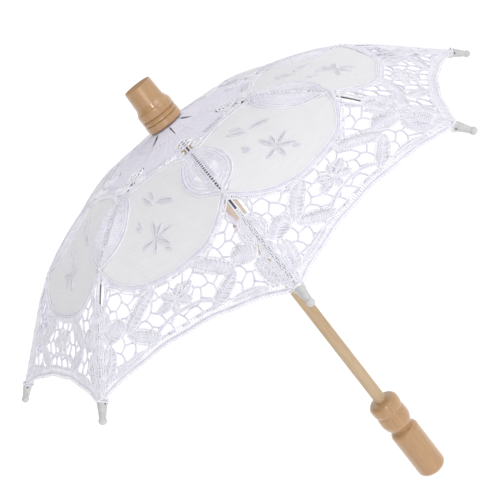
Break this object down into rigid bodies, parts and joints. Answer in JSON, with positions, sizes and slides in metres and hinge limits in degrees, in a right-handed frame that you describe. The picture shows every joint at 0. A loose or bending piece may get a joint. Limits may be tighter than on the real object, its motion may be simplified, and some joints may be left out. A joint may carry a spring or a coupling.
{
  "type": "lace parasol",
  "caption": "Small open parasol with a scalloped white lace canopy on a folding wire frame, a straight turned wooden stick, a wooden finial and a baluster handle.",
  "frame": {"origin": "middle of the straight grip cylinder at the foot of the handle, on the stick's axis", "axes": "+Z along the stick to the finial; +X towards the first rib; ribs follow every 45 degrees towards +Y"},
  "size_m": [0.3848, 0.3848, 0.3544],
  "materials": {
    "stick_wood": "satin varnish",
    "turned_wood": "gloss varnish",
    "inner_wood": "satin varnish",
    "frame_steel": "dark satin",
    "pin_steel": "satin",
    "tip_plastic": "smooth moulded",
    "cotton": "plain weave, matt",
    "lace": "woven tape and thread, matt"
  },
  "bodies": {
    "root": {"shaft": "stick_wood", "handle": "turned_wood", "finial": "turned_wood", "top_notch": "inner_wood", "notch_wire": "frame_steel", "stop_pin": "pin_steel", "crown_patch": "lace"},
    "catch": {"catch_spring": "pin_steel"},
    "runner_body": {"runner": "inner_wood", "runner_wire": "frame_steel"},
    "rib_body_1": {"rib_1": "frame_steel", "rib_tip_1": "tip_plastic"},
    "rib_body_2": {"rib_2": "frame_steel", "rib_tip_2": "tip_plastic"},
    "rib_body_3": {"rib_3": "frame_steel", "rib_tip_3": "tip_plastic"},
    "rib_body_4": {"rib_4": "frame_steel", "rib_tip_4": "tip_plastic"},
    "rib_body_5": {"rib_5": "frame_steel", "rib_tip_5": "tip_plastic"},
    "rib_body_6": {"rib_6": "frame_steel", "rib_tip_6": "tip_plastic"},
    "rib_body_7": {"rib_7": "frame_steel", "rib_tip_7": "tip_plastic"},
    "rib_body_8": {"rib_8": "frame_steel", "rib_tip_8": "tip_plastic"},
    "stretcher_body_1": {"stretcher_1": "frame_steel", "rivet_1": "pin_steel"},
    "stretcher_body_2": {"stretcher_2": "frame_steel", "rivet_2": "pin_steel"},
    "stretcher_body_3": {"stretcher_3": "frame_steel", "rivet_3": "pin_steel"},
    "stretcher_body_4": {"stretcher_4": "frame_steel", "rivet_4": "pin_steel"},
    "stretcher_body_5": {"stretcher_5": "frame_steel", "rivet_5": "pin_steel"},
    "stretcher_body_6": {"stretcher_6": "frame_steel", "rivet_6": "pin_steel"},
    "stretcher_body_7": {"stretcher_7": "frame_steel", "rivet_7": "pin_steel"},
    "stretcher_body_8": {"stretcher_8": "frame_steel", "rivet_8": "pin_steel"},
    "panel_body_1": {"panel_1": "cotton"},
    "panel_body_2": {"panel_2": "cotton"},
    "panel_body_3": {"panel_3": "cotton"},
    "panel_body_4": {"panel_4": "cotton"},
    "panel_body_5": {"panel_5": "cotton"},
    "panel_body_6": {"panel_6": "cotton"},
    "panel_body_7": {"panel_7": "cotton"},
    "panel_body_8": {"panel_8": "cotton"}
  },
  "joints": [
    {"name": "canopy_fold", "type": "hinge", "parent": "root", "child": "rib_body_1", "pos_m": [0.0072, 0, 0.2975], "axis": [0, 1, 0], "range_deg": [0, 57.5], "deforming": ["panel_1", "panel_2", "panel_3", "panel_4", "panel_5", "panel_6", "panel_7", "panel_8"]},
    {"name": "rib_2_fold", "type": "hinge", "parent": "root", "child": "rib_body_2", "pos_m": [0.00509, 0.00509, 0.2975], "axis": [-0.7071, 0.7071, 0], "range_deg": [0, 57.5]},
    {"name": "rib_3_fold", "type": "hinge", "parent": "root", "child": "rib_body_3", "pos_m": [0, 0.0072, 0.2975], "axis": [-1, 0, 0], "range_deg": [0, 57.5]},
    {"name": "rib_4_fold", "type": "hinge", "parent": "root", "child": "rib_body_4", "pos_m": [-0.00509, 0.00509, 0.2975], "axis": [-0.7071, -0.7071, 0], "range_deg": [0, 57.5]},
    {"name": "rib_5_fold", "type": "hinge", "parent": "root", "child": "rib_body_5", "pos_m": [-0.0072, 0, 0.2975], "axis": [0, -1, 0], "range_deg": [0, 57.5]},
    {"name": "rib_6_fold", "type": "hinge", "parent": "root", "child": "rib_body_6", "pos_m": [-0.00509, -0.00509, 0.2975], "axis": [0.7071, -0.7071, 0], "range_deg": [0, 57.5]},
    {"name": "rib_7_fold", "type": "hinge", "parent": "root", "child": "rib_body_7", "pos_m": [0, -0.0072, 0.2975], "axis": [1, 0, 0], "range_deg": [0, 57.5]},
    {"name": "rib_8_fold", "type": "hinge", "parent": "root", "child": "rib_body_8", "pos_m": [0.00509, -0.00509, 0.2975], "axis": [0.7071, 0.7071, 0], "range_deg": [0, 57.5]},
    {"name": "stretcher_1_pivot", "type": "hinge", "parent": "rib_body_1", "child": "stretcher_body_1", "pos_m": [0.12064, 0, 0.26763], "axis": [0, 1, 0], "range_deg": [-115, 0]},
    {"name": "stretcher_2_pivot", "type": "hinge", "parent": "rib_body_2", "child": "stretcher_body_2", "pos_m": [0.08531, 0.08531, 0.26763], "axis": [-0.7071, 0.7071, 0], "range_deg": [-115, 0]},
    {"name": "stretcher_3_pivot", "type": "hinge", "parent": "rib_body_3", "child": "stretcher_body_3", "pos_m": [0, 0.12064, 0.26763], "axis": [-1, 0, 0], "range_deg": [-115, 0]},
    {"name": "stretcher_4_pivot", "type": "hinge", "parent": "rib_body_4", "child": "stretcher_body_4", "pos_m": [-0.08531, 0.08531, 0.26763], "axis": [-0.7071, -0.7071, 0], "range_deg": [-115, 0]},
    {"name": "stretcher_5_pivot", "type": "hinge", "parent": "rib_body_5", "child": "stretcher_body_5", "pos_m": [-0.12064, 0, 0.26763], "axis": [0, -1, 0], "range_deg": [-115, 0]},
    {"name": "stretcher_6_pivot", "type": "hinge", "parent": "rib_body_6", "child": "stretcher_body_6", "pos_m": [-0.08531, -0.08531, 0.26763], "axis": [0.7071, -0.7071, 0], "range_deg": [-115, 0]},
    {"name": "stretcher_7_pivot", "type": "hinge", "parent": "rib_body_7", "child": "stretcher_body_7", "pos_m": [0, -0.12064, 0.26763], "axis": [1, 0, 0], "range_deg": [-115, 0]},
    {"name": "stretcher_8_pivot", "type": "hinge", "parent": "rib_body_8", "child": "stretcher_body_8", "pos_m": [0.08531, -0.08531, 0.26763], "axis": [0.7071, 0.7071, 0], "range_deg": [-115, 0]},
    {"name": "runner_pivot", "type": "hinge", "parent": "stretcher_body_1", "child": "runner_body", "pos_m": [0.0072, 0, 0.23775], "axis": [0, 1, 0], "range_deg": [0, 57.5]},
    {"name": "panel_1_fold", "type": "hinge", "parent": "root", "child": "panel_body_1", "pos_m": [0.00615, 0.00255, 0.2975], "axis": [-0.3827, 0.9239, 0], "range_deg": [0, 57.5]},
    {"name": "panel_2_fold", "type": "hinge", "parent": "root", "child": "panel_body_2", "pos_m": [0.00255, 0.00615, 0.2975], "axis": [-0.9239, 0.3827, 0], "range_deg": [0, 57.5]},
    {"name": "panel_3_fold", "type": "hinge", "parent": "root", "child": "panel_body_3", "pos_m": [-0.00255, 0.00615, 0.2975], "axis": [-0.9239, -0.3827, 0], "range_deg": [0, 57.5]},
    {"name": "panel_4_fold", "type": "hinge", "parent": "root", "child": "panel_body_4", "pos_m": [-0.00615, 0.00255, 0.2975], "axis": [-0.3827, -0.9239, 0], "range_deg": [0, 57.5]},
    {"name": "panel_5_fold", "type": "hinge", "parent": "root", "child": "panel_body_5", "pos_m": [-0.00615, -0.00255, 0.2975], "axis": [0.3827, -0.9239, 0], "range_deg": [0, 57.5]},
    {"name": "panel_6_fold", "type": "hinge", "parent": "root", "child": "panel_body_6", "pos_m": [-0.00255, -0.00615, 0.2975], "axis": [0.9239, -0.3827, 0], "range_deg": [0, 57.5]},
    {"name": "panel_7_fold", "type": "hinge", "parent": "root", "child": "panel_body_7", "pos_m": [0.00255, -0.00615, 0.2975], "axis": [0.9239, 0.3827, 0], "range_deg": [0, 57.5]},
    {"name": "panel_8_fold", "type": "hinge", "parent": "root", "child": "panel_body_8", "pos_m": [0.00615, -0.00255, 0.2975], "axis": [0.3827, 0.9239, 0], "range_deg": [0, 57.5]},
    {"name": "catch_press", "type": "slide", "parent": "root", "child": "catch", "axis": [-0.9239, -0.3827, 0], "range_m": [0, 0.0016], "stiffness_N_per_m": 400, "deforming": ["catch_spring"]}
  ],
  "couplings": [
    {"joint": "rib_2_fold", "follows": "canopy_fold", "ratio": 1},
    {"joint": "rib_3_fold", "follows": "canopy_fold", "ratio": 1},
    {"joint": "rib_4_fold", "follows": "canopy_fold", "ratio": 1},
    {"joint": "rib_5_fold", "follows": "canopy_fold", "ratio": 1},
    {"joint": "rib_6_fold", "follows": "canopy_fold", "ratio": 1},
    {"joint": "rib_7_fold", "follows": "canopy_fold", "ratio": 1},
    {"joint": "rib_8_fold", "follows": "canopy_fold", "ratio": 1},
    {"joint": "stretcher_1_pivot", "follows": "canopy_fold", "ratio": -2},
    {"joint": "stretcher_2_pivot", "follows": "canopy_fold", "ratio": -2},
    {"joint": "stretcher_3_pivot", "follows": "canopy_fold", "ratio": -2},
    {"joint": "stretcher_4_pivot", "follows": "canopy_fold", "ratio": -2},
    {"joint": "stretcher_5_pivot", "follows": "canopy_fold", "ratio": -2},
    {"joint": "stretcher_6_pivot", "follows": "canopy_fold", "ratio": -2},
    {"joint": "stretcher_7_pivot", "follows": "canopy_fold", "ratio": -2},
    {"joint": "stretcher_8_pivot", "follows": "canopy_fold", "ratio": -2},
    {"joint": "runner_pivot", "follows": "canopy_fold", "ratio": 1},
    {"joint": "panel_1_fold", "follows": "canopy_fold", "ratio": 1},
    {"joint": "panel_2_fold", "follows": "canopy_fold", "ratio": 1},
    {"joint": "panel_3_fold", "follows": "canopy_fold", "ratio": 1},
    {"joint": "panel_4_fold", "follows": "canopy_fold", "ratio": 1},
    {"joint": "panel_5_fold", "follows": "canopy_fold", "ratio": 1},
    {"joint": "panel_6_fold", "follows": "canopy_fold", "ratio": 1},
    {"joint": "panel_7_fold", "follows": "canopy_fold", "ratio": 1},
    {"joint": "panel_8_fold", "follows": "canopy_fold", "ratio": 1}
  ]
}
